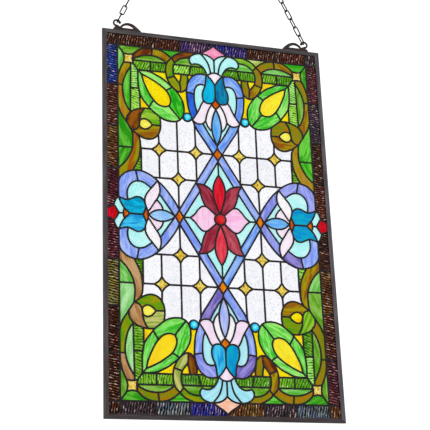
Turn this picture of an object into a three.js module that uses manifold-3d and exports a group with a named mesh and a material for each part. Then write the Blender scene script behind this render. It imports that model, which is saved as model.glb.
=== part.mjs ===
// Hanging stained glass panel: zinc channel frame, glass cut to a scrollwork design and joined by
// solder lines, two scroll hangers, two link chains and the ring that they meet at.
// Millimetres, +Z up, the front faces -Y, and the origin is where a hook bears in the hanging ring.
import * as THREE from 'three';
import { mergeVertices } from 'three/addons/utils/BufferGeometryUtils.js';
import Module from 'manifold-3d';

const wasm = await Module();
wasm.setup();
const { Manifold, Mesh: SolidMesh } = wasm;

// Driving dimensions.
const gap = 0.3;
const facetError = 2.4;
const panel = { halfWidth: 260, halfHeight: 438 };
const channel = { face: 10.5, depth: 9, web: 4, groove: 4.2 };
const sheet = { thickness: 3, insetFromEdge: 5.5 };
const solder = { width: 3.6, proud: 1.2, barHeight: 0.9 };
const field = { side: 225.5, top: 401 };
const cabochon = { cornerRadius: 8, centreRadius: 11, side: 67.5, height: 238, dome: 4.5, back: 2 };
const hanger = {
  wire: 3.8, baseInner: 171, baseOuter: 235, baseTop: 444.5, archTop: 459, archWidth: 6.4, hookX: 226, hookZ: 456,
};
const hook = { radius: 7.2, startAngle: -95, endAngle: 165, ball: 2.9, seat: 1.5 };
const link = { wire: 2.9, outerLength: 28.7, outerWidth: 12.5, count: 23, contact: 0.2 };
const ring = { innerRadius: 12, wire: 3.2 };
const chainSlope = 0.4545;

const colours = {
  zinc: 0x4a4446, solder: 0x2a2326, iron: 0x1d1b1c, border: 0x4a2019, pink: 0xf58bb0, peach: 0xfbb497,
  red: 0xd0142c, vine: 0x8a6a18, leaf: 0x4fce4a, gold: 0xffdc10, clear: 0xeceff2,
  periwinkle: 0x7088ee, aqua: 0xa8f0f5, darkRed: 0x8f1f33, blush: 0xf9bcd9, turquoise: 0x13c8e8,
};

// A seam is a run of stretches through points of one quadrant, each point [side, height]. A stretch that
// starts with 'curve' is smooth, and one that starts with 'line' is straight from point to point. The
// seams of the other quadrants mirror it. Through seams part one node from the next.
const throughSeams = [
  [['line', [31.7, 401], [field.side, field.top], [field.side, 0]]],
  [['line', [0, 436], [0, 424.5]], ['curve', [0, 424.5], [14, 412.5], [31.7, 401]]],
  [['curve', [31.7, 401], [15, 400], [0, 387.5]]],
  [['line', [258, 10.5], [250, 10.5], [236, 18], [field.side, 0]]],
  [['line', [field.side, field.top], [212, 381.5]]],
  [['line', [212, 381.5], [212, 358], [189.5, 358]]],
  [['line', [189.5, 358], [179, 343]]],
  [
    ['curve', [179, 343], [149, 340.5], [111.5, 318.5], [83, 287.5], [74.5, 257], [84, 230.5], [107, 224.5],
      [131, 232.5], [151, 249], [168, 270.5], [178, 299], [179, 343]],
  ],
  [
    ['curve', [170.5, 333.5], [127, 309.5], [105, 272], [109, 261.5]],
    ['curve', [109, 261.5], [131, 261], [151.5, 283], [170.5, 333.5]],
  ],
  [
    ['curve', [131, 232.5], [129.3, 213], [137, 187], [159, 176.5], [176, 177]],
    ['line', [176, 177], [174.3, 99]],
  ],
  [
    ['curve', [31.7, 401], [52, 394.5], [58.3, 380], [54, 371]],
    ['curve', [54, 371], [38, 373.3], [17, 347]],
    ['curve', [17, 347], [43, 347.5], [66.8, 311], [64.5, 262], [55.5, 233]],
    ['line', [55.5, 233], [10, 153.5], [92, 16]],
  ],
  [['line', [55.5, 233], [41, 224.5], [31.5, 226], [0, 174.5]]],
  [['curve', [92, 16], [112, 50], [139, 80]]],
  [
    ['curve', [field.side, 72], [213, 91], [183, 101], [157, 94], [139, 80]],
    ['line', [139, 80], [134, 62], [134.5, 47], [101, 0]],
  ],
  [['curve', [0, 105], [12.5, 78], [12, 48], [0, 12]]],
  [
    ['curve', [13.8, 62], [32, 77.5], [52, 81]],
    ['curve', [52, 81], [42.5, 56], [32, 28.5]],
  ],
  [['curve', [68, 0], [49.5, 20], [32, 28.5], [9, 9]]],
];
// Raised seams are solder lines on the front of glass that is fused beneath them.
const raisedSeams = [
  [['line', [212, 381.5], [189.5, 381.5], [189.5, 358]]],
  [['curve', [189.5, 378], [150, 391], [101, 372]], ['curve', [101, 372], [109, 350], [95, 310], [67, 304]]],
  [['curve', [204, 358], [219, 305], [212, 240], [196, 205], [176, 177]]],
  [['line', [170.5, 333.5], [179, 343]]],
  [['line', [109, 261.5], [84, 230.5]]],
  [['line', [10, 153.5], [174.3, 153.5]]],
  [['line', [50.8, 87], [148, 87]]],
  [['line', [134, 188], [134, 87]]],
  [['line', [92, 224.5], [92, 16]]],
  [['line', [50.8, 222], [50.8, 86]]],
];

// Points along a curve, with only as many as keep it within the facet error.
function thinned(points, tolerance) {
  const [first, last] = [points[0], points.at(-1)];
  const chord = new THREE.Line3(
    new THREE.Vector3(first.x, first.y, 0),
    new THREE.Vector3(last.x, last.y, 0),
  );
  const near = new THREE.Vector3();
  let worst = 0;
  let split = 0;
  points.forEach((point, index) => {
    const at = new THREE.Vector3(point.x, point.y, 0);
    const off = chord.closestPointToPoint(at, true, near).distanceTo(at);
    if (off > worst) {
      worst = off;
      split = index;
    }
  });
  if (worst <= tolerance) {
    return [first, last];
  }
  const before = thinned(points.slice(0, split + 1), tolerance);
  return before.concat(thinned(points.slice(split), tolerance).slice(1));
}

function sampled(seam) {
  const runs = seam.map(([kind, ...pairs]) => {
    const points = pairs.map(([side, height]) => new THREE.Vector2(side, height));
    return kind === 'line' ? points : thinned(new THREE.SplineCurve(points).getPoints(40), facetError);
  });
  return runs.reduce((path, run) => path.concat(run.slice(1)));
}

// The band of one width along a run of points, with mitred corners.
function bandShape(points, width) {
  const sides = [[], []];
  points.forEach((point, index) => {
    const before = points[Math.max(index - 1, 0)];
    const after = points[Math.min(index + 1, points.length - 1)];
    const incoming = point.clone().sub(before).normalize();
    const outgoing = after.clone().sub(point).normalize();
    const along = incoming.clone().add(outgoing).normalize();
    const straight = index === 0 ? outgoing : incoming;
    const reach = width / 2 / Math.max(0.4, Math.abs(along.dot(straight)));
    const normal = new THREE.Vector2(-along.y, along.x);
    sides[0].push(point.clone().addScaledVector(normal, reach));
    sides[1].unshift(point.clone().addScaledVector(normal, -reach));
  });
  return new THREE.Shape(sides.flat());
}

// A run that ends where it starts is laid as two halves.
function openRuns(points) {
  if (points[0].distanceTo(points.at(-1)) > 0.01) {
    return [points];
  }
  const middle = Math.floor(points.length / 2);
  return [points.slice(0, middle + 1), points.slice(middle)];
}

// A prism on a shape drawn in X and Z, from the front Y to the back Y.
function prism(shape, front, back) {
  const geometry = new THREE.ExtrudeGeometry(shape, { depth: back - front, bevelEnabled: false });
  return geometry.rotateX(Math.PI / 2).translate(0, back, 0);
}

function solidOf(geometry) {
  const bare = geometry.clone();
  bare.deleteAttribute('normal');
  bare.deleteAttribute('uv');
  const merged = mergeVertices(bare, 1e-4);
  return new Manifold(new SolidMesh({
    numProp: 3,
    vertProperties: merged.attributes.position.array,
    triVerts: new Uint32Array(merged.index.array),
  }));
}

function geometryOf(solid) {
  const mesh = solid.getMesh();
  const geometry = new THREE.BufferGeometry();
  geometry.setAttribute('position', new THREE.BufferAttribute(mesh.vertProperties, 3));
  geometry.setIndex(new THREE.BufferAttribute(mesh.triVerts, 1));
  const flat = geometry.toNonIndexed();
  flat.computeVertexNormals();
  return flat;
}

const joined = (solids) => Manifold.union(solids);
const slab = (halfWidth, halfHeight, thickness) => solidOf(
  new THREE.BoxGeometry(2 * halfWidth, thickness, 2 * halfHeight),
);

// The four mirror images of a run of points about both axes of the panel.
function mirrored(points) {
  const images = [];
  for (const side of [1, -1]) {
    for (const height of [1, -1]) {
      images.push(points.map((point) => new THREE.Vector2(side * point.x, height * point.y)));
    }
  }
  return images;
}

function bands(seams, width, front, back) {
  return seams.flatMap((seam) => openRuns(sampled(seam))).flatMap(mirrored)
    .map((points) => solidOf(prism(bandShape(points, width), front, back)));
}

const arc = (x, z, radius, from, to, steps) => Array.from({ length: steps + 1 }, (_, step) => {
  const angle = THREE.MathUtils.degToRad(from + (to - from) * step / steps);
  return [x + radius * Math.cos(angle), z + radius * Math.sin(angle)];
});

// The seams around the five cabochons.
const jewelSeams = [
  [['line', ...arc(0, 0, cabochon.centreRadius + solder.width / 2, 0, 90, 3)]],
  [['line', ...arc(cabochon.side, cabochon.height, cabochon.cornerRadius + solder.width / 2, 0, 360, 9)]],
];

const through = [...throughSeams, ...jewelSeams];
const solderDepth = sheet.thickness / 2 + solder.proud;
const barFrom = solderDepth - solder.barHeight;
const opening = { halfWidth: panel.halfWidth - channel.face, halfHeight: panel.halfHeight - channel.face };
const walls = joined(bands(through, solder.width, -solderDepth, solderDepth));
const frontBars = bands(raisedSeams, solder.width, -solderDepth, -barFrom);
const insideFrame = slab(opening.halfWidth - gap, opening.halfHeight - gap, 2 * solderDepth + 2);
const glassSheet = slab(
  panel.halfWidth - sheet.insetFromEdge,
  panel.halfHeight - sheet.insetFromEdge,
  sheet.thickness,
);
const parting = joined(bands(through, solder.width + 2 * gap, -solderDepth, solderDepth));
const glassCells = glassSheet.subtract(parting).decompose();

// The pane that holds a given point.
function paneAt(side, height) {
  const probe = solidOf(new THREE.BoxGeometry(0.4, 1, 0.4).translate(side, 0, height));
  const pane = glassCells.find((cell) => cell.intersect(probe).volume() > 0.1);
  if (!pane) {
    throw new Error(`no pane at ${side}, ${height}`);
  }
  return pane;
}

const metal = (color, roughness) => new THREE.MeshStandardMaterial({ color, roughness, metalness: 0.8 });
const glass = (color) => new THREE.MeshStandardMaterial({
  color, roughness: 0.12, metalness: 0, transparent: true, opacity: 0.75,
});

const panelGroup = new THREE.Group();
function add(group, name, geometry, material) {
  const mesh = new THREE.Mesh(geometry, material);
  mesh.name = name;
  group.add(mesh);
  return mesh;
}

// Frame: a U channel along each side, cut at 45 degrees where two lengths meet.
function channelLength(length) {
  const half = channel.depth / 2;
  const slot = channel.groove / 2;
  const section = [
    [0, -half], [channel.face, -half], [channel.face, -slot], [channel.web, -slot],
    [channel.web, slot], [channel.face, slot], [channel.face, half], [0, half],
  ].map(([across, through]) => new THREE.Vector2(across, through));
  const bar = new THREE.ExtrudeGeometry(new THREE.Shape(section), { depth: length, bevelEnabled: false });
  bar.translate(0, 0, -length / 2);
  const positions = bar.attributes.position;
  for (let index = 0; index < positions.count; index += 1) {
    const end = Math.sign(positions.getZ(index));
    positions.setZ(index, positions.getZ(index) - end * (positions.getX(index) + gap / 2));
  }
  return geometryOf(solidOf(bar));
}
const upright = channelLength(2 * panel.halfHeight);
const rail = channelLength(2 * panel.halfWidth);
const zinc = metal(colours.zinc, 0.45);
for (const [name, turn, geometry, x, z] of [
  ['frame_left', 0, upright, -panel.halfWidth, 0],
  ['frame_right', Math.PI, upright, panel.halfWidth, 0],
  ['frame_top', Math.PI / 2, rail, 0, panel.halfHeight],
  ['frame_bottom', -Math.PI / 2, rail, 0, -panel.halfHeight],
]) {
  const mesh = add(panelGroup, name, geometry, zinc);
  mesh.position.set(x, 0, z);
  mesh.rotation.y = turn;
}

// Solder lines: every seam in one lattice.
const lattice = joined([walls, ...frontBars]).intersect(insideFrame).decompose();
lattice.sort((one, other) => other.volume() - one.volume());
add(panelGroup, 'solder_lines', geometryOf(lattice[0]), metal(colours.solder, 0.5));

// Glass, named by where it sits seen from the front.
const quadrantPanes = [
  ['border_glass', 150, 414, colours.border],
  ['upper_scroll', 150, 391, colours.vine],
  ['side_scroll', 210, 190, colours.vine],
  ['leaf_blade', 90, 270, colours.leaf],
  ['leaf_heart', 130, 285, colours.gold],
  ['clear_lattice', 110, 190, colours.clear],
  ['dark_petal', 30, 50, colours.darkRed],
];
for (const [side, sideName] of [[-1, 'left'], [1, 'right']]) {
  for (const [height, heightName] of [[1, 'top'], [-1, 'bottom']]) {
    for (const [name, x, z, colour] of quadrantPanes) {
      const pane = paneAt(side * x, height * z);
      add(panelGroup, `${name}_${heightName}_${sideName}`, geometryOf(pane), glass(colour));
    }
  }
}
const axisPanes = [
  ['finial_top', 0, 405, colours.pink], ['finial_bottom', 0, -405, colours.peach],
  ['finial_left', -242, 0, colours.red], ['finial_right', 242, 0, colours.red],
  ['lily_top', 15, 300, colours.aqua], ['lily_bottom', 15, -300, colours.aqua],
  ['lily_left', -190, 20, colours.aqua], ['lily_right', 190, 20, colours.aqua],
  ['ribbon_top', 25, 115, colours.periwinkle], ['ribbon_bottom', 25, -115, colours.periwinkle],
  ['ribbon_left', -80, 20, colours.periwinkle], ['ribbon_right', 80, 20, colours.periwinkle],
  ['red_petal_top', 0, 70, colours.red], ['red_petal_bottom', 0, -70, colours.red],
  ['pink_petal_left', -40, 0, colours.blush], ['pink_petal_right', 40, 0, colours.blush],
];
for (const [name, x, z, colour] of axisPanes) {
  add(panelGroup, name, geometryOf(paneAt(x, z)), glass(colour));
}

// Cabochons: a dome on a straight girdle, with a shallower back.
function cabochonGeometry(radius) {
  const girdle = sheet.thickness / 2;
  const edge = radius - gap;
  const profile = [
    [0, -girdle - cabochon.dome], [0.62 * edge, -girdle - 0.72 * cabochon.dome], [edge, -girdle],
    [edge, girdle], [0, girdle + cabochon.back],
  ].map(([across, through]) => new THREE.Vector2(across, through));
  return geometryOf(solidOf(new THREE.LatheGeometry(profile, 9)));
}
const cornerJewel = cabochonGeometry(cabochon.cornerRadius - 0.4);
add(panelGroup, 'jewel_centre', cabochonGeometry(cabochon.centreRadius - 0.6), glass(colours.red));
for (const [side, sideName] of [[-1, 'left'], [1, 'right']]) {
  for (const [height, heightName] of [[1, 'top'], [-1, 'bottom']]) {
    const mesh = add(panelGroup, `jewel_${heightName}_${sideName}`, cornerJewel, glass(colours.turquoise));
    mesh.position.set(side * cabochon.side, 0, height * cabochon.height);
  }
}

// Hangers: a base strip on the frame, an arch over a finger gap, and an open hook with a ball end.
function hangerSolid(side) {
  const flat = (pairs) => pairs.map(([x, z]) => new THREE.Vector2(side * x, z));
  const bar = (pairs, width) => solidOf(
    prism(bandShape(flat(pairs), width), -hanger.wire / 2, hanger.wire / 2),
  );
  const foot = panel.halfHeight + gap;
  const middle = (foot + hanger.baseTop) / 2;
  const crown = hanger.archTop - hanger.archWidth / 2;
  const tip = arc(hanger.hookX, hanger.hookZ, hook.radius, hook.endAngle, hook.endAngle, 1)[0];
  const ball = new THREE.OctahedronGeometry(hook.ball, 1).translate(side * tip[0], 0, tip[1]);
  return joined([
    bar([[hanger.baseInner, middle], [hanger.baseOuter, middle]], hanger.baseTop - foot),
    bar([[176, 441], [187, crown - 4.4], [201, crown], [212, crown - 4.8], [218.5, 443]], hanger.archWidth),
    bar(arc(hanger.hookX, hanger.hookZ, hook.radius, hook.startAngle, hook.endAngle, 8), hanger.wire),
    solidOf(ball),
    bar([[hanger.hookX - 4, 443], [hanger.hookX - 1, 451]], hanger.wire),
  ]);
}
const iron = metal(colours.iron, 0.5);
add(panelGroup, 'hanger_left', geometryOf(hangerSolid(-1)), iron);
add(panelGroup, 'hanger_right', geometryOf(hangerSolid(1)), iron);

// Chains: straight under the panel's weight, each link a quarter turn from the last. Neighbours share
// the contact depth, so that a chain is one body.
function linkGeometry() {
  const bend = (link.outerWidth - link.wire) / 2;
  const straight = (link.outerLength - link.contact - link.outerWidth) / 2;
  const corner = Math.SQRT2;
  const oval = new THREE.TorusGeometry(corner * bend, corner * link.wire / 2, 4, 4);
  oval.rotateZ(Math.PI / 4).scale(1, 1, 1 / corner);
  const positions = oval.attributes.position;
  for (let index = 0; index < positions.count; index += 1) {
    positions.setY(index, positions.getY(index) + Math.sign(positions.getY(index)) * straight);
  }
  return oval.rotateX(Math.PI / 2);
}
const pitch = link.outerLength - 2 * link.wire;
const endOffset = (bar, seat) => (link.outerLength - link.wire) / 2 - (link.wire + bar) / 2 - seat;
const hookOffset = endOffset(hanger.wire, hook.seat);
const chainLength = endOffset(ring.wire, gap) + (link.count - 1) * pitch + hookOffset;
const lean = Math.atan(chainSlope);
const hookTop = new THREE.Vector2(
  hanger.hookX - hook.radius * Math.sin(lean),
  hanger.hookZ + hook.radius * Math.cos(lean),
);
const ringContact = new THREE.Vector2(
  hookTop.x - chainLength * Math.sin(lean),
  hookTop.y + chainLength * Math.cos(lean),
);
const ringLine = ring.innerRadius + ring.wire / 2;
const ringCentreHeight = ringContact.y + Math.sqrt(ringLine ** 2 - ringContact.x ** 2);
const panelDrop = ringCentreHeight + ring.innerRadius;

function chainSolid(side) {
  const links = [];
  for (let index = 0; index < link.count; index += 1) {
    const along = hookOffset + index * pitch;
    const shape = linkGeometry();
    if (index % 2 === 0) {
      shape.rotateZ(Math.PI / 2);
    }
    shape.rotateY(-side * lean);
    shape.translate(
      side * (hookTop.x - along * Math.sin(lean)),
      0,
      hookTop.y + along * Math.cos(lean),
    );
    links.push(solidOf(shape));
  }
  return joined(links);
}
add(panelGroup, 'chain_left', geometryOf(chainSolid(-1)), iron);
add(panelGroup, 'chain_right', geometryOf(chainSolid(1)), iron);
const ringGeometry = new THREE.TorusGeometry(ringLine, ring.wire / 2, 4, 16).rotateX(Math.PI / 2);
add(panelGroup, 'hanging_ring', ringGeometry, iron).position.z = ringCentreHeight;

panelGroup.position.z = -panelDrop;
const window = new THREE.Group();
window.add(panelGroup);

export default window;
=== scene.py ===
"""Looks of the hanging stained glass panel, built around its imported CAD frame."""
import math
import random

import bmesh
import bpy
import numpy as np
from mathutils import Matrix, Vector
from mathutils.geometry import delaunay_2d_cdt

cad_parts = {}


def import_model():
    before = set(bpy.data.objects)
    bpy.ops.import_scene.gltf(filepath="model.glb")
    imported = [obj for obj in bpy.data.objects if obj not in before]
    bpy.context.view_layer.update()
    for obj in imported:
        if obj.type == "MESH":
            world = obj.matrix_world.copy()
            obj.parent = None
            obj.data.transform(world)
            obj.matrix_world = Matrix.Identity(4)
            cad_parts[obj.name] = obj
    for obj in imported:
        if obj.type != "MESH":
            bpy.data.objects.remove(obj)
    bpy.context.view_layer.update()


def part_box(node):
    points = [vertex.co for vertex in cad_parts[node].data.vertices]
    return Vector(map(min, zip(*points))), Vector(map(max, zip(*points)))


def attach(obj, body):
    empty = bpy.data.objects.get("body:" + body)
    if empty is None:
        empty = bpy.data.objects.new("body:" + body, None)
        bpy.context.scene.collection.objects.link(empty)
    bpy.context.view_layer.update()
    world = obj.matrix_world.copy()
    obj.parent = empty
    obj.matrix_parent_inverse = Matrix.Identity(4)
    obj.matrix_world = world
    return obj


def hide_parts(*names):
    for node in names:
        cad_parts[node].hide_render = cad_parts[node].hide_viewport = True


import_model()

MM = 0.001
CM_PER_MM = 0.1
SIDES = {-1: "left", 1: "right"}
HEIGHTS = {1: "top", -1: "bottom"}
random.seed(7)

# -------- sizes in millimetres
# The panel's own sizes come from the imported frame, and its place from there too, in metres.
left_edge, right_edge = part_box("frame_left")[0].x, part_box("frame_right")[1].x
top_low, top_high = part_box("frame_top")
bottom_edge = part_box("frame_bottom")[0].z
border_low, border_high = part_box("border_glass_top_left")
CENTRE_Z = (top_high.z + bottom_edge) / 2
HALF_WIDTH = (right_edge - left_edge) / 2 / MM
HALF_HEIGHT = (top_high.z - bottom_edge) / 2 / MM
FACE = (top_high.z - top_low.z) / MM
DEPTH = (top_high.y - top_low.y) / MM
GLASS = (border_high.y - border_low.y) / MM
CROWN = -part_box("solder_lines")[0].y / MM - GLASS / 2
# The frame's channel: the web behind its groove, the groove, and how far in the glass ends.
WEB, GROOVE, GLASS_EDGE = 4.0, 4.2, 5.5
# Seams that end past these places, to the side and up, run on past the edge of the glass.
NEAR_EDGE, PAST_EDGE = (250, 428), 0.4
# The seam along the top of the field, the width of the solder, and the jewels with their rings.
FIELD_TOP = 401.0
BEAD = 4.0
JEWEL_SIDE, JEWEL_HEIGHT = 67.5, 238.0
CORNER_JEWEL, CENTRE_JEWEL = 8.4, 11.4
JEWEL_RING, HUB_RING = 9.8, 12.8
# The gold stars of the clear lattice.
STAR_REACH = 16.6
STARS = ((134.0, 153.5), (50.5, 153.5), (92.0, 87.0))


def world(u, through, v):
    """A point given in millimetres from the middle of the panel: to the side, through it and up."""
    return (u * MM, through * MM, CENTRE_Z + v * MM)


# -------- the design: seams of one quadrant
# Each seam is a smooth curve (C) or a straight line (L) through points of the upper right quadrant, given
# in millimetres from the middle. The other three quadrants are its mirror images.
CURVE, LINE = "C", "L"
SEAMS = """
# border and field
L 31.7,401 225.5,401  L 225.5,401 225.5,37  L 80,401 80,429  L 151,401 151,429  L 225.5,401 225.5,429
L 225.5,401 251,401  L 225.5,302.5 251,302.5  L 225.5,203 251,203  L 225.5,102.5 251,102.5
# finials
C 0,424.5 9,416.5 19,410 31.7,401  L 0,424.5 0,429  C 31.7,401 20,400 9,395.5 0,387.5
C 251,10.5 244,12.5 236,18  C 236,18 231.5,11.5 225,0  C 225.5,37 231,31 234,24 236,18
C 225.5,37 220.5,24 214,13 201.5,0  C 213,11 215,5 215,0  L 225,0 215,0
# corner star, arch and strips
L 225.5,401 212,381.5  C 212,381.5 201,379.3 189.5,381.5  C 212,381.5 210,370 212,358
C 189.5,381.5 191.3,370 189.5,358  C 212,358 201,359.3 189.5,358
C 189.5,381.5 179,391.5 168,397.5 156,400.3 142,400.6 128,398.6 114,392 101,381.5
C 191.1,369 180,375 168,380 150,382.3 134,380.5 122,375 112.5,367.5  L 145,400.6 147,382.3
L 191.1,366.7 112.8,367  L 178.5,344 115,344  L 150,367 150,344  L 189.5,358 179,342.5
# loop beside the lily
C 101,381.5 94,389 85,395 72,400.6  C 93,371.5 84,380 73,385 57.5,387  L 101,381.5 93,371.5
C 101,381.5 111,370 114.8,355 114.6,341 111.5,328 104,314 95,304 84,298.6 75,300.5 68.5,308
C 93,371.5 97,361 97.3,347 95,336.5 89,328 83,320.5  L 112,330.5 95.2,336.5  C 79,344 80.5,332 83,320.5
C 83,320.5 81.5,310 81.5,298.5  C 64,344 63.6,331 66,319  L 95.5,366.5 27,366.5  L 97,343.5 50,343.5
L 55.5,366.5 60.5,343.5
# lily at the top
C 31.7,401 42,399.5 52,394.5 58,387 58.3,378 54,371  C 54,371 47,373.3 38,373.3 29,368.5 22,359 17,347
C 31.7,401 23.5,392 16,381 11.5,368 9,353.5  L 0,387.5 0,355.5  C 17,347 9,353.5 0,355.7
C 17,347 8,337 0,324  L 0,324 0,284
C 20,347.5 21.3,334 24,319 29,306 30.5,294 27.5,282 20,277.5 10,278 3,284 0,291
C 17,347 30,349.3 43,347.5 54,339.5 62.5,326 66.8,311 67.8,296 66.8,280 64.5,262 60,246 55.5,233
C 23.3,321.5 33,323.3 42,319.5 48,309 50,295 49.8,280 47.5,264 43.5,251.5  L 67.7,300.5 49.8,297.5
C 9.5,275 5,269 0,264.5  L 9.5,275 8,279  C 28,282.5 34,273 39,261 44.5,250.5 55.5,233
C 55.5,233 50,227.2 41,224.5 32,226 25,233  C 9.5,275 17,262 22,248 25,233  C 25,233 20,219.5 11,208.5
C 0,264.5 6,250 10,233 11.2,215 8.5,198 0,174.5  L 31.5,226 22,208 12,191 0,174.5
# the corner jewel's ties to the leaf and the ring
L 57,238.4 58.2,238.4  L 76.4,240.5 78,240.8
# ribbons and their diamonds
C 55.5,233 47,212 35,193 22.5,173.5 10,153.5  L 0,174.5 0,167  L 10,153.5 0,168  L 10,153.5 0,138
L 10,153.5 50.8,85 92,16  L 0,137 34,79  L 43.5,63 83,0  L 92,16 100.8,0  L 92,16 83,0
C 92,16 100,32 112,50 124,65.5 139,80  C 101,0 111,14 122,30 134.5,48
# middle flower
L 0,138 0,104  L 83,0 67.5,0  C 0,105 7.5,92 12.5,78 14,64 12,48 7,31 0,12
C 52,81 43,80 32,77.5 22,71.5 13.8,62  C 52,81 45.5,69 42.5,56 38,41 32,28.5
C 68,0 58,8.5 49.5,20 40.5,28 32,28.5 21,20.5 9,9
# clear lattice, broken where its stars sit
L 10,153.5 33.5,153.5  L 67.5,153.5 117,153.5  L 151,153.5 175,153.5  L 50.8,87 76,87  L 108,87 148,87
L 134,190 134,170  L 134,137 134,87  L 92,224.5 92,103.5  L 92,70.5 92,17  L 51.5,222 50.5,170
L 50.5,137 50.5,86  L 176,172 174.3,150 174.3,100
# leaf
C 179,342.5 163,342.5 149,340.5 135,334 122,327 111.5,318.5 101,309.5 92,300 83,287.5 76.5,273 74.5,257
  76.5,242 84,230.5 94,225.2 107,224.5 120,227 131,232.5 140,240 151,249 159,259 168,270.5 175,284
  178,299 179.3,315 179,342.5
C 170.5,333.5 157,327.5 142,319.5 127,309.5 115,299 107.5,286 105,272 109,261.5
C 109,261.5 119,258.7 131,261 142,270 151.5,283 160,300 167,317 170.5,333.5  L 179,342.5 170.5,333.5
L 115,299 100.5,309  L 154.5,254 144.5,272.5  C 109,261.5 97,246 84,230.5
# strip, arc, curl and stem at the side
L 195.5,358 197,240  L 177.5,297 175.5,285 175.3,249  L 196.3,297.5 178,297.5
C 212,358 219.5,341 224.5,322 225.5,302.5  C 225.5,252 218.5,233 210,219 203,208 195,195.5
C 196,349 204,335 211,318 214.5,300 213.5,280 209.5,262 203,247.5 196.5,239  L 225.5,302.5 214.3,302.5
C 151,249 163,250.2 177,248 189,243.5 197.5,237.5  C 197.5,237.5 205,226 206,213
C 131,232.5 129.3,215 131,200 137,187 147,179 159,176.5 171,179.5 183,186.5 195,195.5
C 165,250 172,239 176,226 178.3,208 184,198.5 194,194.5
C 177.8,214 174,222 165,224.5 156,220.5 148,211.5  C 178.5,210 174,203 165.5,199.8 156.5,203 148,211.5
L 148,211.5 129.3,211  L 225.5,153.5 193.5,153.5
C 195,195.5 193,182 192.6,167 194.5,151 200,136 210,119 225.5,102.5
C 183,186.5 177.5,176 176,163 176.5,148 178.5,133.5 184,119 193.5,100
# lily at the side
C 225.5,72 221.5,82 213,91 203,97 190,100.3 176,100.5 163,96.2 150,89 139,80
C 205.5,31.5 206.8,45 205,57 199.5,67 191,74 181,76 170,73.5 153.5,62  L 187,100.3 182.5,76
C 139,80 147,70 155,60 162.5,50 167.5,39 168,28 165.5,18 161.5,7 161,0
C 139,80 134.8,68 134,55 138.5,42 148,27 160,8  C 142.3,35.5 135.5,29 130.5,21.5 128,13
C 160.5,0 149,9 137,12.7 124,12 112,7.5 101,0  C 225.5,37 216,33 206,31.5 196,35 187,39 177,38.3 169,31
L 202,0 172,0  C 165.5,17 168.5,9 172.3,0
"""

# -------- the tiles: what each is cut from
# Each row has a piece, its glass, and points inside its tiles in the upper right quadrant, each with the
# number of a shade of that glass for the upper left, upper right, lower left and lower right image. An
# indented row carries on the one above. A piece has a node in each quadrant, or one at the top and one at
# the bottom if it ends in _v, or one at the left and one at the right if it ends in _h.
QUARTERS = ((-1, 1), (1, 1), (-1, -1), (1, -1))
TILES = """
border_glass border 238,414:2923 188,414:2195 115,414:1259 45,414:8773 238,350:6020 238,250:1921
  238,150:3243 238,60:0102
finial_v finial 0,405:0011
finial_h ruby 240,0:0000
upper_scroll gold 200.5,370:1111
upper_scroll vine 168,388:0233 120,388:2333 85,388:0843 105,350:4372 97,320:4270 73,325:4303
upper_scroll ground 200,392:1200 150,374:1313 100,395:2422 75,375:1311 42,369.5:0000 219,375:3011
upper_scroll rippled 170,356:1010 130,356:0111 78,355:2000 40,356:1010
upper_scroll yellow 128,338:0101 87,338:0001 60,340:1001 72,275:0010
leaf_blade blade 135,325:2112 85,270:0111 120,245:2112 170,300:1211
leaf_heart heart 130,285:0121
side_scroll rippled 187,330:3313 187,270:2210 180,110:1102
side_scroll ground 203,290:2151 215,190:0251 210,135:0233
side_scroll vine 208,345:2363 219,270:5243 184,150:1562 190,220:0368 150,235:8374 155,188:2242
side_scroll yellow 168,255:0011 163,212:2220
clear_lattice clear 155,165:0101 113,190:1010 70,190:0011 38,170:1100 155,120:1001 113,120:0110
  70,120:0101 38,120:1010 110,70:0011 75,70:1100
clear_lattice gold 134,153.5:0000 50.5,153.5:0000 92,87:0000
ribbon_v ribbon 38,205:0051 25,115:1110
ribbon_v orange 0,153.5:0000
ribbon_v aqua 15,95:0000
ribbon_h ribbon 65,50:1400 118,45:1301
ribbon_h orange 92,0:0101
ribbon_h aqua 62,20:0000
red_petal_v ruby 0,70:1122
dark_petal wine 35,60:0112
pink_petal_h pink 45,0:0101
lily_v plume 47,385:0011 10,375:0011
lily_v pale 0,345:0011 40,240:0011 15,240:2222
lily_v teal 15,310:0123
lily_v ribbon 45,340:0035 58,280:2011
lily_v aqua 40,290:0011 20,210:0011
lily_v orange 0,274:1111
lily_v blue 0,220:0011
lily_h plume 229,22:0000
lily_h ribbon 215,60:1311 165,85:1315
lily_h aqua 185,55:0000 125,30:0000
lily_h teal 190,20:0323
lily_h orange 208,0:0101 167,0:0101
lily_h pale 150,50:0220 145,20:1011
lily_h blue 130,0:2020
"""


# -------- plane geometry
# How near two points, or a point and an axis, count as one.
SAME, ON_AXIS = 0.02, 0.01


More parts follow.
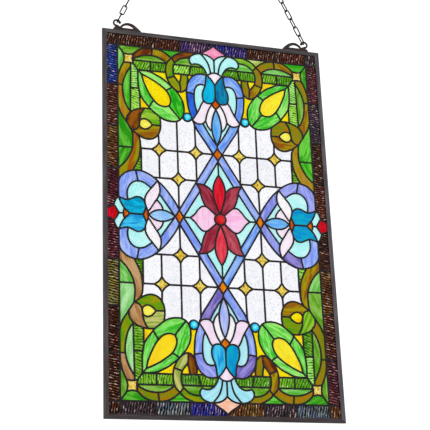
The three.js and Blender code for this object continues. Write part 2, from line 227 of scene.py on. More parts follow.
def smooth(points, step=3.0):
    """Points every few millimetres along a centripetal curve through the given ones."""
    knots = [np.array(p, float) for p in points]
    knots = [2 * knots[0] - knots[1]] + knots + [2 * knots[-1] - knots[-2]]
    out = []
    for p0, p1, p2, p3 in zip(knots, knots[1:], knots[2:], knots[3:]):
        t1 = max(np.linalg.norm(p1 - p0), 1e-6) ** 0.5
        t2 = t1 + max(np.linalg.norm(p2 - p1), 1e-6) ** 0.5
        t3 = t2 + max(np.linalg.norm(p3 - p2), 1e-6) ** 0.5
        count = max(2, round(float(np.linalg.norm(p2 - p1)) / step))
        for k in range(count):
            t = t1 + (t2 - t1) * k / count
            a1 = (t1 - t) / t1 * p0 + t / t1 * p1
            a2 = (t2 - t) / (t2 - t1) * p1 + (t - t1) / (t2 - t1) * p2
            a3 = (t3 - t) / (t3 - t2) * p2 + (t - t2) / (t3 - t2) * p3
            b1 = (t2 - t) / t2 * a1 + t / t2 * a2
            b2 = (t3 - t) / (t3 - t1) * a2 + (t - t1) / (t3 - t1) * a3
            out.append((t2 - t) / (t2 - t1) * b1 + (t - t1) / (t2 - t1) * b2)
    return np.array(out + [knots[-2]])


def read_seams(table):
    """The kind of each seam in the table, and its points."""
    kinds, runs = [], []
    for row in table.splitlines():
        for word in () if row.startswith("#") else row.split():
            if word in (CURVE, LINE):
                kinds.append(word)
                runs.append([])
            else:
                runs[-1].append(tuple(float(part) for part in word.split(",")))
    return kinds, runs


def circle(u, v, radius, count):
    """Points round a circle, the first again at the end."""
    return [(u + radius * math.cos(math.tau * k / count), v + radius * math.sin(math.tau * k / count))
            for k in range(count + 1)]


def star_outline(u, v, reach, pull=2.2):
    """A four-pointed star with hollow sides."""
    tips = [(u + reach, v), (u, v + reach), (u - reach, v), (u, v - reach), (u + reach, v)]
    sides = []
    for (u0, v0), (u1, v1) in zip(tips, tips[1:]):
        middle = np.array([(u0 + u1) / 2 - u, (v0 + v1) / 2 - v])
        middle *= 1 - pull / np.linalg.norm(middle)
        sides.append(smooth([(u0, v0), (u + middle[0], v + middle[1]), (u1, v1)]))
    return sides


def nearest_on(line, point):
    """The point of a polyline nearest to another point, and how far it is."""
    start, step = line[:-1], line[1:] - line[:-1]
    share = np.clip(((point - start) * step).sum(1) / np.maximum((step * step).sum(1), 1e-12), 0, 1)
    feet = start + share[:, None] * step
    away = np.linalg.norm(feet - point, axis=1)
    best = int(away.argmin())
    return feet[best], float(away[best])


def joined_ends(lines, reach=3.2, overshoot=0.9):
    """Runs each loose end of a seam just past the seam that it stops at."""
    out = []
    for index, line in enumerate(lines):
        line = line.copy()
        others = [other for k, other in enumerate(lines) if k != index]
        for end, inner in ((0, 1), (-1, -2)):
            point = line[end].copy()
            if any(min(np.linalg.norm(o[0] - point), np.linalg.norm(o[-1] - point)) < SAME for o in others):
                continue
            on_axis = abs(point[0]) < ON_AXIS or abs(point[1]) < ON_AXIS
            if on_axis or np.linalg.norm(line[0] - line[-1]) < SAME:
                continue
            foot, away = min((nearest_on(other, point) for other in others), key=lambda found: found[1])
            if away < reach:
                heading = foot - line[inner]
                line[end] = foot + overshoot * heading / max(np.linalg.norm(heading), 1e-9)
        out.append(line)
    return out


kinds, runs = read_seams(SEAMS)
quadrant = [smooth(points) if kind == CURVE else np.array(points) for kind, points in zip(kinds, runs)]
for u, v in STARS:
    sides = star_outline(u, v, STAR_REACH)
    quadrant += sides
    kinds += [CURVE] * len(sides)
quadrant.append(np.array(circle(JEWEL_SIDE, JEWEL_HEIGHT, JEWEL_RING, 28)))
kinds.append(CURVE)
quadrant = joined_ends(quadrant)
hub = np.array(circle(0, 0, HUB_RING, 36))


def images(line):
    """The mirror images of a seam in the four quadrants, without repeats along the axes."""
    on_v_axis, on_u_axis = np.abs(line).max(0) < ON_AXIS
    for side in (1, -1):
        for height in (1, -1):
            if not (on_u_axis and height < 0 or on_v_axis and side < 0):
                yield side, height, line * (side, height)


glass_edge = (HALF_WIDTH - GLASS_EDGE, HALF_HEIGHT - GLASS_EDGE)
outline = np.array([(-1, -1), (1, -1), (1, 1), (-1, 1), (-1, -1)]) * glass_edge


def to_glass_edge(line):
    """A seam that ends under the frame's lip runs on just past the edge of the glass."""
    line = line.copy()
    for end in (0, -1):
        for axis in (0, 1):
            if abs(line[end][axis]) > NEAR_EDGE[axis]:
                line[end][axis] = math.copysign(glass_edge[axis] + PAST_EDGE, line[end][axis])
    return line


cutting = [outline, hub] + [image for line in quadrant for _, _, image in images(to_glass_edge(line))]


def arrangement(lines):
    """The triangles that the seams cut the panel into, the tile that each belongs to, and, for each
    point of a seam, the points that it is joined to."""
    points, edges = [], []
    for line in lines:
        edges += [(len(points) + k, len(points) + k + 1) for k in range(len(line) - 1)]
        points += [Vector((float(u), float(v))) for u, v in line]
    found = delaunay_2d_cdt(points, edges, [], 0, 1e-3)
    spots = np.array([tuple(p) for p in found[0]])
    seams = {tuple(sorted(edge)) for edge, source in zip(found[1], found[4]) if source}
    triangles = np.array([tuple(face) for face in found[2]])
    pairs = [[tuple(sorted((face[k], face[k - 1]))) for k in range(3)] for face in triangles]
    beside = {}
    for index, sides in enumerate(pairs):
        for pair in sides:
            beside.setdefault(pair, []).append(index)
    label = -np.ones(len(triangles), int)
    count = 0
    for first in range(len(triangles)):
        if label[first] >= 0:
            continue
        stack = [first]
        while stack:
            here = stack.pop()
            if label[here] < 0:
                label[here] = count
                stack += [other for pair in pairs[here] if pair not in seams for other in beside[pair]]
        count += 1
    meets = {}
    for a, b in seams:
        meets.setdefault(a, []).append(b)
        meets.setdefault(b, []).append(a)
    return spots, triangles, label, meets


def cross(steps, others):
    """Twice the area of the triangle that each step spans with another, negative if it is clockwise."""
    return steps[:, 0] * others[:, 1] - steps[:, 1] * others[:, 0]


SPOTS, TRIANGLES, LABEL, MEETS = arrangement(cutting)
corner_a, corner_b, corner_c = (SPOTS[TRIANGLES[:, k]] for k in range(3))
AREAS = cross(corner_b - corner_a, corner_c - corner_a) / 2


def cell_at(u, v):
    """The piece of glass that holds a point."""
    point = np.array((u, v))
    inside = np.ones(len(TRIANGLES), bool)
    for start, end in ((corner_a, corner_b), (corner_b, corner_c), (corner_c, corner_a)):
        inside &= cross(end - start, point - start) * np.sign(AREAS) >= -1e-9
    return int(LABEL[np.argmax(inside)])


# The least square of a corner's mean normal, so that a sharp corner isn't drawn in too far.
SHARPEST = 0.16


def tile_mesh(cell, clearance=0.9):
    """Corners, triangles and edges of one tile, drawn in from its seams, and less where it would fold."""
    faces = TRIANGLES[LABEL == cell].copy()
    flip = AREAS[LABEL == cell] < 0
    faces[flip] = faces[flip][:, ::-1]
    edges = {(face[k], face[(k + 1) % 3]): None for face in faces for k in range(3)}
    border = [pair for pair in edges if pair[::-1] not in edges]
    shift = {}
    for a, b in border:
        along = SPOTS[b] - SPOTS[a]
        inward = np.array((-along[1], along[0])) / max(np.linalg.norm(along), 1e-9)
        shift.setdefault(a, []).append(inward)
        shift.setdefault(b, []).append(inward)
    used = sorted({int(k) for face in faces for k in face})
    index = {spot: k for k, spot in enumerate(used)}
    moves = np.zeros((len(used), 2))
    for spot, normals in shift.items():
        total = np.sum(normals, axis=0) / len(normals)
        square = max(float(total @ total), SHARPEST)
        moves[index[spot]] = clearance * total / square
    faces = np.array([[index[k] for k in face] for face in faces])
    border = [(index[a], index[b]) for a, b in border]
    base = SPOTS[used]
    for _ in range(8):
        spots = base + moves
        a, b, c = (spots[faces[:, k]] for k in range(3))
        bad = np.unique(faces[cross(b - a, c - a) <= 1e-4])
        if not len(bad):
            break
        moves[bad] *= 0.5
    return spots, faces, border


# -------- meshes
def new_object(name, verts, faces, materials, smooth_faces=True, face_materials=None):
    """A closed mesh with its faces turned outwards, riding on the one body."""
    mesh = bpy.data.meshes.new(name)
    mesh.from_pydata([tuple(v) for v in verts], [], [tuple(int(k) for k in f) for f in faces])
    for material in materials:
        mesh.materials.append(material)
    if face_materials is not None:
        mesh.polygons.foreach_set("material_index", np.array(face_materials, np.int32))
    mesh.polygons.foreach_set("use_smooth", np.full(len(mesh.polygons), smooth_faces))
    work = bmesh.new()
    work.from_mesh(mesh)
    bmesh.ops.recalc_face_normals(work, faces=work.faces)
    work.to_mesh(mesh)
    work.free()
    mesh.validate()
    piece = bpy.data.objects.new(name, mesh)
    bpy.context.scene.collection.objects.link(piece)
    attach(piece, "root")
    return piece


def set_attribute(piece, name, kind, values):
    """Gives each point of a piece the value that its material reads."""
    attribute = piece.data.attributes.new(name, kind, "POINT")
    key = "vector" if kind == "FLOAT_VECTOR" else "value"
    attribute.data.foreach_set(key, np.array(values, np.float32).ravel())


class Build:
    """Collects closed forms, to be made into one object."""

    def __init__(self):
        self.verts, self.faces = [], []

    def add(self, verts, faces):
        start = len(self.verts)
        self.verts += [tuple(v) for v in verts]
        self.faces += [tuple(k + start for k in face) for face in faces]

    def rings(self, rings, closed=False):
        """Joins rings of equally many points, capped at both ends or closed on themselves."""
        count, size = len(rings), len(rings[0])
        faces = []
        for k in range(count if closed else count - 1):
            for j in range(size):
                here, there = k * size, (k + 1) % count * size
                faces.append((here + j, here + (j + 1) % size, there + (j + 1) % size, there + j))
        if not closed:
            faces.append(tuple(range(size))[::-1])
            faces.append(tuple((count - 1) * size + j for j in range(size)))
        self.add([p for ring in rings for p in ring], faces)


# How far solder reaches into the glass, how far apart the sections of a straight line of it are, and the
# shares of its width and its height that vary.
SOLDER_BITE, SOLDER_STEP = 0.02, 7
WIDTH_WAVER, CROWN_WAVER = 0.07, 0.06
# Sections of a solder line, across and up, and of the dome where lines meet, from the front to the back.
BEAD_SECTION = [(-1.0, 0.0), (-0.8, 0.5), (-0.42, 0.87), (0.0, 1.0), (0.42, 0.87), (0.8, 0.5), (1.0, 0.0)]
DOME_HALF = [(1.0, 0.3), (0.86, 0.62), (0.5, 0.9), (0, 1)]


def waver():
    """A slow hand-made variation along a seam, between -1 and 1."""
    waves = [(length, random.uniform(0, math.tau)) for length in (4.3, 9.1, 17.0)]
    return lambda s: sum(math.sin(s / length + phase) for length, phase in waves) / 3


def bead(build, line, straight):
    """A rounded solder line on both faces of the glass."""
    points = [line[0]]
    for start, end in zip(line, line[1:]):
        count = max(1, math.ceil(float(np.linalg.norm(end - start)) / SOLDER_STEP)) if straight else 1
        points += [start + (end - start) * (k + 1) / count for k in range(count)]
    points = np.array(points)
    steps = np.diff(points, axis=0)
    lengths = np.linalg.norm(steps, axis=1)
    heading = steps / np.maximum(lengths, 1e-9)[:, None]
    ahead = np.vstack([heading, heading[-1:]])
    behind = np.vstack([heading[:1], heading])
    closed = np.linalg.norm(line[0] - line[-1]) < SAME
    if closed:
        ahead[-1], behind[0] = heading[0], heading[-1]
    along = ahead + behind
    along /= np.maximum(np.linalg.norm(along, axis=1), 1e-9)[:, None]
    stretch = 1 / np.maximum((along * ahead).sum(1), 0.6)
    normal = np.stack([-along[:, 1], along[:, 0]], 1)
    travelled = np.concatenate([[0], np.cumsum(lengths)])
    width, height = waver(), waver()
    rings = []
    for point, across, reach, s in zip(points, normal, stretch, travelled):
        half = BEAD / 2 * reach * (1 + WIDTH_WAVER * width(s))
        crown = CROWN * (1 - CROWN_WAVER + CROWN_WAVER * height(s))
        ring = []
        for face in (-1, 1):
            for share, rise in BEAD_SECTION:
                spot = point + across * half * share * -face
                ring.append(world(spot[0], face * (GLASS / 2 - SOLDER_BITE + crown * rise), spot[1]))
        rings.append(ring)
    build.rings(rings[:-1] if closed else rings, closed)


def blob(build, u, v, radius):
    """A low dome of solder where seams meet, on both faces."""
    count = 10
    turn = random.uniform(0, 1)
    section = [(-1, -rise, share) for rise, share in DOME_HALF]
    section += [(1, rise, share) for rise, share in reversed(DOME_HALF)]
    angles = [math.tau * (k + turn) / count for k in range(count)]
    rings = []
    for face, rise, share in section:
        depth = face * (GLASS / 2 - SOLDER_BITE) + rise * CROWN
        reach = radius * share
        rings.append([world(u + reach * math.cos(a), depth, v + reach * math.sin(a)) for a in angles])
    build.rings(rings)


def wire(build, path, radii, sides=10, closed=False, depth_limit=1.0):
    """A round bar along a path in space, with a radius at each point, flattened past a depth limit.

    Lengths are in metres, so the depth limit that is there if none is given doesn't flatten anything.
    """
    path = [Vector(p) for p in path]
    count = len(path)
    rings = []
    guide = None
    for k, point in enumerate(path):
        before = path[(k - 1) % count] if closed or k else path[k]
        after = path[(k + 1) % count] if closed or k < count - 1 else path[k]
        along = (after - before).normalized()
        if guide is None:
            guide = along.orthogonal().normalized()
        guide = (guide - along * guide.dot(along)).normalized()
        other = along.cross(guide)
        rings.append([point + radii[k] * (a * guide + b * other) for a, b in circle(0, 0, 1, sides)[:-1]])
    flat = [[(x, max(min(y, depth_limit), -depth_limit), z) for x, y, z in ring] for ring in rings]
    build.rings(flat, closed)


# -------- materials
def srgb(code):
    """A colour given as six hex digits, as the linear values that Blender takes."""
    parts = [int(code[k:k + 2], 16) / 255 for k in (0, 2, 4)]
    return tuple(p / 12.92 if p <= 0.04045 else ((p + 0.055) / 1.055) ** 2.4 for p in parts) + (1.0,)


GLASS_SHEEN = (0.12, 0.12, 0.12, 1)


def seen(code):
    """The base colour that glass needs to be seen in a given colour in this light."""
    return tuple(max(0.94 * p - 0.018, 0.0) for p in srgb(code)[:3]) + (1.0,)


class Nodes:
    """A material's node tree, with short calls for the nodes used here."""

    def __init__(self, name):
        self.material = bpy.data.materials.new(name)
        self.material.use_nodes = True
        self.tree = self.material.node_tree
        self.tree.nodes.clear()
        self.shader = self.make("ShaderNodeBsdfPrincipled")
        out = self.make("ShaderNodeOutputMaterial")
        self.tree.links.new(self.shader.outputs[0], out.inputs[0])

    def make(self, kind, **settings):
        node = self.tree.nodes.new(kind)
        for key, value in settings.items():
            setattr(node, key, value)
        return node

    def feed(self, node, values):
        for key, value in values.items():
            if isinstance(value, bpy.types.NodeSocket):
                self.tree.links.new(value, node.inputs[key])
            else:
                node.inputs[key].default_value = value
        return node

    def attribute(self, name, output):
        return self.make("ShaderNodeAttribute", attribute_name=name).outputs[output]

    def place(self, vector, scale, turn=0.0):
        return self.feed(self.make("ShaderNodeMapping"), {
            "Vector": vector, "Scale": scale, "Rotation": (0.0, 0.0, turn)}).outputs[0]

    def noise(self, vector, scale, detail=2.0, rough=0.5, distortion=0.0):
        return self.feed(self.make("ShaderNodeTexNoise"), {
            "Vector": self.place(vector, scale), "Scale": 1.0, "Detail": detail, "Roughness": rough,
            "Distortion": distortion}).outputs["Fac"]

    def ramp(self, fac, stops):
        node = self.make("ShaderNodeValToRGB")
        marks = node.color_ramp.elements
        for k, (at, colour) in enumerate(stops):
            mark = marks[k] if k < 2 else marks.new(at)
            mark.position = at
            mark.color = colour
        self.tree.links.new(fac, node.inputs[0])
        return node.outputs[0]

    def mix(self, fac, one, other):
        node = self.make("ShaderNodeMix", data_type="RGBA")
        return self.feed(node, {0: fac, 6: one, 7: other}).outputs[2]

    def math(self, operation, *values):
        node = self.make("ShaderNodeMath", operation=operation)
        return self.feed(node, dict(enumerate(values))).outputs[0]

    def band(self, value, low, high):
        node = self.make("ShaderNodeMapRange", interpolation_type="SMOOTHSTEP")
        return self.feed(node, {"Value": value, "From Min": low, "From Max": high}).outputs[0]

    def bump(self, height, distance):
        node = self.make("ShaderNodeBump")
        self.feed(node, {"Height": height, "Distance": distance, "Strength": 1.0})
        self.feed(self.shader, {"Normal": node.outputs[0]})

    def finish(self, **values):
        self.feed(self.shader, {key.replace("_", " "): value for key, value in values.items()})
        return self.material


def art_glass(name, shades, streak, contrast=(0.35, 0.65), relief="flow", depth=0.0002, clear=0.6,
              rough=0.08, crest=(), blend=0.0):
    """Streaked sheet glass, patterned in centimetres along and across each tile.

    Each shade is the colour of the body and the colour of its streaks. A crest is a colour, and the heights
    of the relief between which it comes in; on the border, rippled and clear glass these are painted
    highlights and painted shade that follow the relief. Blend lets neighbouring shades run into each other.
    """
    n = Nodes(name)
    grain = n.attribute("grain", "Vector")
    tone = n.attribute("tone", "Fac")
    if blend:
        cloud = n.noise(grain, (0.22, 0.22, 1), 2.0, 0.5, 0.5)
        tone = n.math("ADD", tone, n.math("MULTIPLY", n.math("SUBTRACT", cloud, 0.5), blend))
    last = len(shades) - 1
    body = [(k / last, seen(shade.split()[0])) for k, shade in enumerate(shades)]
    vein = [(k / last, seen(shade.split()[1])) for k, shade in enumerate(shades)]
    streaks = n.noise(grain, (streak[0], streak[1], 1), 3.0, 0.5, 0.6)
    wisps = n.noise(grain, (streak[0] * 0.35, streak[1] * 0.3, 1), 2.0, 0.5, 1.2)
    mixed = n.math("ADD", n.math("MULTIPLY", streaks, 0.6), n.math("MULTIPLY", wisps, 0.4))
    if relief == "ripple":
        wave = n.feed(n.make("ShaderNodeTexWave", wave_type="BANDS", bands_direction="X"), {
            "Vector": n.place(grain, (1, 1, 1), 0.2), "Scale": 0.56, "Distortion": 4.0, "Detail": 1.5,
            "Detail Scale": 1.7, "Detail Roughness": 0.5}).outputs["Fac"]
        breaks = n.noise(grain, (1.8, 1.2, 1), 1.5)
        height = n.math("ADD", n.math("MULTIPLY", wave, 0.5), n.math("MULTIPLY", breaks, 0.7))
        mixed = n.math("ADD", n.math("MULTIPLY", mixed, 0.6), n.math("MULTIPLY", height, 0.4))
    elif relief == "hammer":
        cells = n.feed(n.make("ShaderNodeTexVoronoi", feature="SMOOTH_F1"), {
            "Vector": n.place(grain, (2.2, 3.2, 1)), "Scale": 1.0, "Smoothness": 0.6})
        height = n.math("ADD", cells.outputs["Distance"], n.noise(grain, (2.5, 4, 1)))
    elif relief == "granite":
        height = n.noise(grain, (0.7, 2.6, 1), 2.0, 0.5, 0.4)
    else:
        height = n.noise(grain, (0.5, 1.1, 1))
    share = n.band(mixed, *contrast)
    colour = n.mix(share, n.ramp(tone, body), n.ramp(tone, vein))
    for code, low, high in crest:
        colour = n.mix(n.band(height, low, high), colour, seen(code))
    n.bump(height, depth)
    return n.finish(Base_Color=colour, Roughness=rough, Transmission_Weight=clear, IOR=1.5,
                    Specular_Tint=GLASS_SHEEN)


GLASSES = {}


def stock(glass, slot, shades, *rest, **more):
    """Keeps, for a glass, the record's slot, the number of its last shade, and its material."""
    GLASSES[glass] = (slot, len(shades) - 1, art_glass(f"{glass}_sheet", shades, *rest, **more))


stock("border", "glass_border", [
    "22060e 6c303c", "1e0a07 703a28", "140706 502e22", "281206 7c4824", "2c2208 908638", "182228 74848c",
    "060c44 164cb4", "0a0838 3838a4", "1c0c28 6c4a7c", "0c0809 504248"],
    (0.5, 1.0), (0.42, 0.64), "ripple", 0.001, 0.5, 0.12,
    # On the border, near-black painted shade in the ripple's valleys and pale painted glints on its crests.
    [("040202", 0.59, 0.4), ("e4c8bc", 0.83, 0.97)], 0.26)
stock("finial", "glass_pink", ["fc8cbc ffc0da", "fcc0a0 ffdac4"], (0.4, 1.4), (0.4, 0.6), depth=0.0003)
stock("ruby", "glass_red", ["bc0412 dc1c38", "d4182f ec3850", "e0384c f46874"], (0.35, 1.6))
stock("wine", "glass_dark_red", ["882434 ac4858", "983042 bc5464", "b04050 d06c78"], (0.35, 1.8),
      (0.4, 0.6))
stock("gold", "glass_gold", ["e8c034 fcee80", "f0c83a fcee94"], (1.2, 2.0), (0.38, 0.58), "hammer", 0.0008,
      crest=[("b88a20", 1.02, 1.27)])
stock("yellow", "glass_gold", ["f4bc0c fcea20", "f8b414 fce828", "f8e43c fcf468"], (0.4, 1.3), (0.28, 0.54))
stock("heart", "glass_gold", ["fcac0c fce80c", "fcd010 fcf040", "fcb40c fce834"], (0.25, 0.8), (0.32, 0.54))
stock("blade", "glass_leaf", ["14a414 60e040", "44c436 90ec70", "62d44a b0f684"], (0.3, 2.6), (0.45, 0.55),
      "granite", 0.0006, crest=[("c4faa4", 0.56, 0.78)])
stock("ground", "glass_leaf", [
    "349820 6cc444", "5ca01c 94c85c", "38a818 78d850", "60bc44 a0e084", "a8bc50 d8e894", "88d078 b8ecac"],
    (0.3, 1.3), (0.42, 0.58))
stock("rippled", "glass_leaf", ["3c7c0c 68ac24", "4c900c 84c034", "7cc430 b0ec60", "78d048 b4f47c"],
      # Dark painted shade in the ripple's valleys and pale painted highlights on its crests.
      (0.5, 1.4), (0.42, 0.62), "ripple", 0.0008, crest=[("1c4c04", 0.5, 0.28), ("ecfcd0", 0.84, 1.0)])
stock("vine", "glass_vine", [
    "683404 a0640c", "b05818 9ca018", "986008 b0a010", "7c9410 b47c14", "54a414 a8a018", "c07828 a4a42c",
    "b07c50 d0a87c", "8cb048 d4d080", "5cac18 a0d03c"], (0.28, 1.5), (0.42, 0.58), blend=0.12)
stock("clear", "glass_clear", ["eaebf0 f5f5f9", "e4e5ec f2f2f7"], (0.6, 0.8), (0.3, 0.7), "hammer", 0.0005,
      # Grey painted shade on the hammered relief, standing in for its refraction.
      1.0, 0.05, [("d8d9e0", 1.0, 1.4)])
stock("ribbon", "glass_periwinkle", [
    "6898f4 a2c8fe", "84a0f6 b8cafe", "1040bc 3474e8", "848ee4 b2bafa", "a8b4f8 ccd8fc", "7064b8 a498e0"],
    (0.3, 1.6), (0.42, 0.58), blend=0.08)
stock("aqua", "glass_aqua", ["b8f8f8 d8ffff", "b0ecf6 ccf9fe"], (0.3, 1.0), (0.4, 0.7))
stock("plume", "glass_aqua", ["b4f9f9 d2ffff", "9ee4f5 bef5fe"], (0.3, 1.4))
stock("teal", "glass_aqua", ["0098c0 14c4ec", "0074a4 0c98bc", "1498dc 50d0f8", "0094d8 10b4d0"],
      (0.3, 1.4), (0.42, 0.58))
stock("blue", "glass_periwinkle", ["4ca0f8 8cccfc", "a0b4f8 c8d2fc", "88c0fc b8e0fc"], (0.3, 1.4))
stock("pale", "glass_pink", ["fbeaf9 fff8ff", "f8def5 feeffe", "fef8fe ffffff"], (0.35, 1.3))
stock("pink", "glass_pink", ["fdc0e4 fee0f7", "fdb6e0 fed8f4"], (0.35, 1.3), (0.38, 0.58))
stock("orange", "glass_vine", ["d4580a f69a26", "c8540c ee8e22"], (0.5, 1.4), (0.4, 0.6))


def dark_metal(name, colours, scale, rough, metallic, depth, spec):
    """Patinated metal, with its shades from the darkest, mottled at a scale given along each axis."""
    n = Nodes(name)
    where = n.make("ShaderNodeTexCoord").outputs["Object"]
    patina = n.noise(where, scale, 5.0, 0.6, 0.3)
    colour = n.ramp(n.band(patina, 0.3, 0.7), [(k / 2, srgb(code)) for k, code in enumerate(colours)])
    worn = n.band(n.noise(where, tuple(3 * s for s in scale), 3.0), 0.3, 0.8)
    roughness = n.math("ADD", n.math("MULTIPLY", worn, 0.18), rough)
    n.bump(n.noise(where, tuple(2 * s for s in scale), 3.0), depth)
    return n.finish(Base_Color=colour, Roughness=roughness, Metallic=metallic, Specular_IOR_Level=spec)


FINE, EVEN, UPRIGHT, LEVEL = (240, 240, 240), (180, 180, 180), (160, 160, 14), (14, 160, 160)
ZINC = ("2c2829", "3c3739", "4c4648")
SOLDER = dark_metal("patina_solder", ("0d0a0b", "171214", "221c1e"), FINE, 0.42, 0.15, 0.0003, 0.2)
# The bottom rail is darker with painted shade, as if lit from above; its mottling is patina.
ZINC_SHADED_SILL = dark_metal("zinc_sill_painted_shade", ("211a1a", "2e2627", "3c3334"), LEVEL, 0.45, 0.3, 0.00015, 0.3)
ZINC_RAIL = dark_metal("zinc_rail", ZINC, LEVEL, 0.45, 0.3, 0.00015, 0.3)
ZINC_UPRIGHT = dark_metal("zinc_upright", ZINC, UPRIGHT, 0.45, 0.3, 0.00015, 0.3)
# The right upright is lighter with painted light, as if lit from the right; its mottling is patina.
ZINC_LIT_UPRIGHT = dark_metal("zinc_upright_painted_light", ("353134", "484348", "5a5359"), UPRIGHT, 0.45, 0.3, 0.00015, 0.3)
IRON = dark_metal("blackened_iron", ("140d0c", "221512", "38221c"), EVEN, 0.42, 0.2, 0.0003, 0.3)
CHAIN_IRON = dark_metal("chain_iron", ("080606", "100c0b", "1c1412"), EVEN, 0.45, 0.1, 0.0002, 0.12)


def cabochon_glass(name, shades):
    """Pressed glass, with its shades from the middle of the dome to its rim: a painted highlight in the
    middle and painted shade towards the rim.
    """
    n = Nodes(name)
    where = n.make("ShaderNodeTexCoord").outputs["Object"]
    swirl = n.math("SUBTRACT", n.noise(where, (150, 150, 150), 2.0, 0.5, 0.6), 0.5)
    n.bump(n.noise(where, (160, 160, 160), 1.0), 0.0002)
    spread = n.math("ADD", n.attribute("rim", "Fac"), n.math("MULTIPLY", swirl, 0.5))
    last = len(shades) - 1
    colour = n.ramp(spread, [(k / last, srgb(code)) for k, code in enumerate(shades)])
    return n.finish(Base_Color=colour, Roughness=0.04, Transmission_Weight=0.6, IOR=1.5,
                    Specular_Tint=GLASS_SHEEN, Coat_Weight=0.22)


# Each jewel's first shade is a pale painted highlight in the middle, and its last a dark painted shade at
# the rim.
RED_JEWEL = cabochon_glass("red_jewel_glass", ("ff3038", "f80c18", "e8000c", "940008"))
TURQUOISE_JEWEL = cabochon_glass("turquoise_jewel_glass", ("d4fcff", "50e8ff", "18d0f8", "087ca4"))


# -------- glass tiles
def node_of(piece, side, height):
    """The CAD node that holds a piece's tiles in one quadrant."""
    if piece.endswith("_v"):
        return f"{piece[:-2]}_{HEIGHTS[height]}"
    if piece.endswith("_h"):
        return f"{piece[:-2]}_{SIDES[side]}"
    return f"{piece}_{HEIGHTS[height]}_{SIDES[side]}"


def claimed_tiles():
    """For each CAD node its tiles, each with its glass and its shade as a share of the glass's last."""
    claimed, by_node = set(), {}
    for row in TILES.replace("\n  ", " ").strip().splitlines():
        piece, glass, *seeds = row.split()
        for seed in seeds:
            point, shades = seed.split(":")
            u, v = (float(part) for part in point.split(","))
            for (side, height), shade in zip(QUARTERS, shades):
                cell = cell_at(u * side, v * height)
                if cell not in claimed:
                    claimed.add(cell)
                    tiles = by_node.setdefault(node_of(piece, side, height), [])
                    tiles.append((cell, glass, int(shade) / GLASSES[glass][1]))
    return by_node


def glass_panes(node, cells):
    """The tiles of one CAD node, each a closed pane with its own direction of grain."""
    glasses = sorted({glass for _, glass, _ in cells})
    verts, faces, face_glass, grain, tones = [], [], [], [], []
    for cell, glass, tone in cells:
        spots, triangles, rim = tile_mesh(cell)
        front, back = len(verts), len(verts) + len(spots)
        centre = spots.mean(0)
        spread = (spots - centre).T @ (spots - centre)
        axis = np.linalg.eigh(spread)[1][:, 1]
        if glass == "border" and abs(centre[1]) > FIELD_TOP:
            axis = np.array((1.0, 0.0))
        across = np.array((-axis[1], axis[0]))
        seed = random.uniform(0, 90)
        for face in (-1, 1):
            verts += [world(u, face * GLASS / 2, v) for u, v in spots]
            for spot in (spots - centre) * CM_PER_MM:
                along, aside = float(spot @ axis), float(spot @ across)
                grain.append((along + seed, aside + seed / 3, seed + face * 0.15))
        tones += [tone] * (2 * len(spots))
        for a, b, c in triangles:
            faces += [(front + a, front + b, front + c), (back + c, back + b, back + a)]
        for a, b in rim:
            faces.append((front + b, front + a, back + a, back + b))
        face_glass += [glasses.index(glass)] * (2 * len(triangles) + len(rim))
    piece = new_object(f"{node}_panes", verts, faces, [GLASSES[g][2] for g in glasses], False, face_glass)
    set_attribute(piece, "grain", "FLOAT_VECTOR", grain)
    set_attribute(piece, "tone", "FLOAT", tones)
    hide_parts(node)


for node, cells in claimed_tiles().items():
    glass_panes(node, cells)


# -------- cabochons
FRONT_RINGS, BACK_RINGS, JEWEL_SIDES = 10, 6, 40


def cabochon(node, u, v, radius, material):
    """A pressed dome of glass, higher in front than behind."""
    low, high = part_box(node)
    front, back, girdle = -low.y / MM, high.y / MM, GLASS / 2
    rings = []
    for k in range(FRONT_RINGS):
        angle = math.pi / 2 * k / (FRONT_RINGS - 1)
        swell = (front - girdle) * math.cos(angle) ** 1.1
        rings.append((radius * math.sin(max(angle, 0.05)), -girdle - swell))
    for k in range(BACK_RINGS):
        angle = math.pi / 2 * (1 - k / (BACK_RINGS - 1))
        swell = (back - girdle) * math.cos(angle)
        rings.append((radius * math.sin(max(angle, 0.08)), girdle + swell))
    build = Build()
    build.rings([[world(u + a, through, v + b) for a, b in circle(0, 0, reach, JEWEL_SIDES)[:-1]]
                 for reach, through in rings])
    piece = new_object(f"{node}_dome", build.verts, build.faces, [material])
    # The distance from the middle that sets the painted highlight and the painted shade at the rim.
    set_attribute(piece, "rim", "FLOAT", [
        math.hypot(x / MM - u, (z - CENTRE_Z) / MM - v) / radius for x, _, z in build.verts])
    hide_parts(node)


cabochon("jewel_centre", 0, 0, CENTRE_JEWEL, RED_JEWEL)
for side, side_name in SIDES.items():
    for height, height_name in HEIGHTS.items():
        cabochon(f"jewel_{height_name}_{side_name}", side * JEWEL_SIDE,
                 height * JEWEL_HEIGHT, CORNER_JEWEL, TURQUOISE_JEWEL)


# -------- solder
LIP_SIDE, LIP_TOP = HALF_WIDTH - FACE, HALF_HEIGHT - FACE
# How far the lines run in under the frame's lip, and how near two blobs may be.
UNDER_LIP, BLOB_SPACING = 1, 1.6
solder = {(side, height): Build() for side in SIDES for height in HEIGHTS}
furthest = np.array((LIP_SIDE + UNDER_LIP, LIP_TOP + UNDER_LIP))
for kind, line in zip(kinds, quadrant):
    for side, height, image in images(np.clip(line, -furthest, furthest)):
        bead(solder[side, height], image, kind == LINE)
bead(solder[1, 1], hub, False)
blobs = []
for spot, ends in MEETS.items():
    u, v = SPOTS[spot]
    if len(ends) < 3 or abs(u) > LIP_SIDE or abs(v) > LIP_TOP:
        continue
    if any(abs(u - other_u) + abs(v - other_v) < BLOB_SPACING for other_u, other_v in blobs):
        continue
    blobs.append((u, v))
    blob(solder[1 if u >= 0 else -1, 1 if v >= 0 else -1], u, v, BEAD / 2 * random.uniform(1.1, 1.3))
for (side, height), build in solder.items():
    piece = new_object(f"solder_{HEIGHTS[height]}_{SIDES[side]}", build.verts, build.faces, [SOLDER])
    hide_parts("solder_lines")


